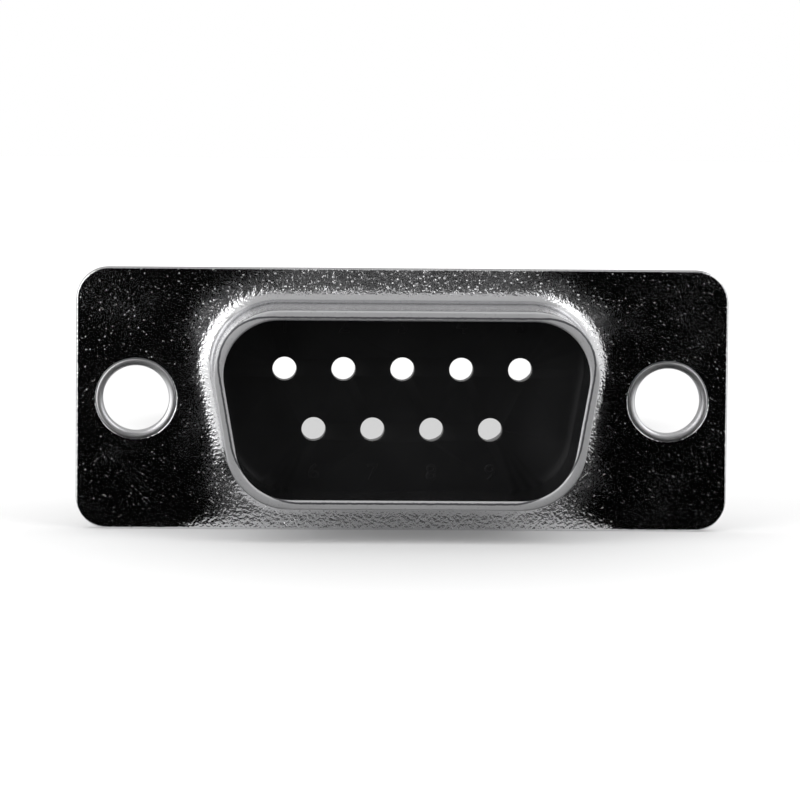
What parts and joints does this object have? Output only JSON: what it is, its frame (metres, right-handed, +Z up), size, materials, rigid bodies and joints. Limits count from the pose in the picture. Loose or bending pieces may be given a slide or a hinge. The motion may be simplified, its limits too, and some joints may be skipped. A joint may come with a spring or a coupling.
{
  "type": "d-sub plug connector",
  "caption": "D-shaped plug connector with two drawn metal shells, riveted mounting eyelets and a black insulator whose contact cavities are empty, ready for crimp contacts.",
  "frame": {"origin": "midway between the two mounting holes, on the front face of the front flange", "axes": "+Z up with the wide side of the D, +X to the right seen from the mating side, the mating side faces -Y"},
  "size_m": [0.0306, 0.0109, 0.0122],
  "materials": {
    "plated_shell": "dull tin plate with a fine grain",
    "insulator": "black moulded, slightly glossy",
    "eyelet": "bright tin plate",
    "clip": "bright sprung copper alloy"
  },
  "bodies": {
    "root": {"front_shell": "plated_shell", "rear_shell": "plated_shell", "front_insulator": "insulator", "rear_insulator": "insulator", "left_eyelet": "eyelet", "right_eyelet": "eyelet", "contact_clip_1": "clip", "contact_clip_2": "clip", "contact_clip_3": "clip", "contact_clip_4": "clip", "contact_clip_5": "clip", "contact_clip_6": "clip", "contact_clip_7": "clip", "contact_clip_8": "clip", "contact_clip_9": "clip"}
  },
  "joints": []
}
